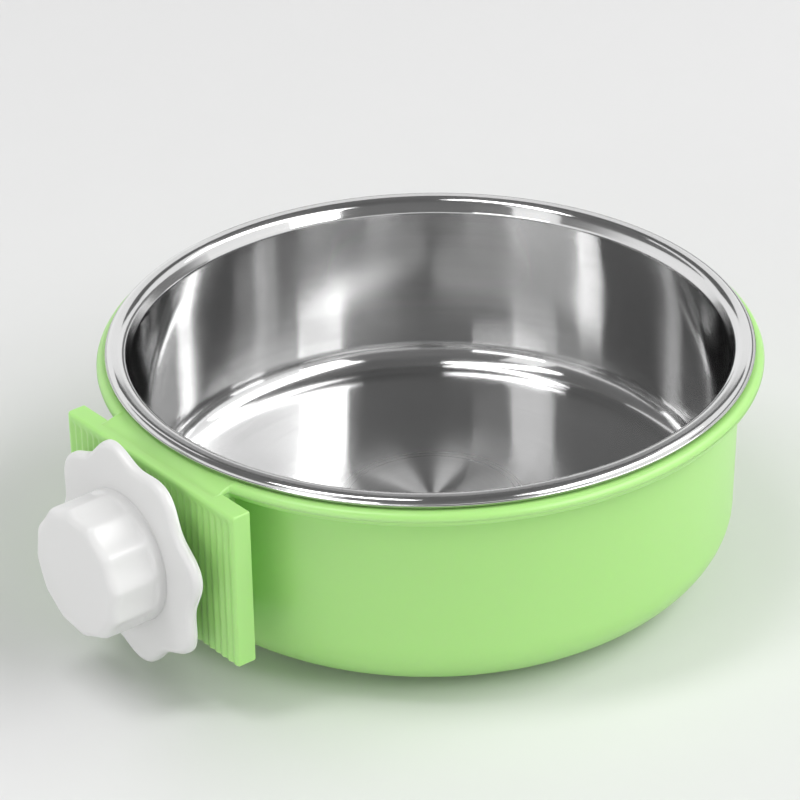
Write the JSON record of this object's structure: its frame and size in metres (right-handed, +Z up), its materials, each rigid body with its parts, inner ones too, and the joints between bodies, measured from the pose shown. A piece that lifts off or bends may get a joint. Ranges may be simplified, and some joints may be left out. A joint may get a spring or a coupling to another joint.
{
  "type": "clamp-on cage bowl",
  "caption": "Round feeding bowl for a wire cage: a stainless insert lifts out of a moulded plastic holder whose ribbed plate is clamped to the wires by a screw-on knob.",
  "frame": {"origin": "centre of the holder's flat underside, on the surface it stands on", "axes": "+Z up along the bowl's axis; -Y out of the clamp plate, along the stud; +X along the plate's width"},
  "size_m": [0.1644, 0.1909, 0.0624],
  "materials": {
    "holder_plastic": "light green polypropylene, satin gloss",
    "stainless": "polished wall and rim, circular spun floor",
    "clamp_plastic": "white polypropylene, glossy",
    "zinc_steel": "zinc plated"
  },
  "bodies": {
    "holder": {"holder_bowl": "holder_plastic", "clamp_stud": "zinc_steel"},
    "bowl": {"steel_bowl": "stainless"},
    "disc": {"clamp_disc": "clamp_plastic"},
    "knob": {"knob": "clamp_plastic", "knob_nut": "zinc_steel"}
  },
  "joints": [
    {"name": "bowl_lift", "type": "slide", "parent": "holder", "child": "bowl", "axis": [0, 0, 1], "range_m": [0, 0.06]},
    {"name": "disc_travel", "type": "slide", "parent": "holder", "child": "disc", "axis": [0, -1, 0], "range_m": [-0.005, 0.007]},
    {"name": "knob_turn", "type": "hinge", "parent": "disc", "child": "knob", "pos_m": [0, -0.1, 0.0345], "axis": [0, -1, 0], "range_deg": [-1440, 2010]}
  ],
  "couplings": [
    {"joint": "disc_travel", "follows": "knob_turn", "m_per_rad": 0.00019894}
  ]
}
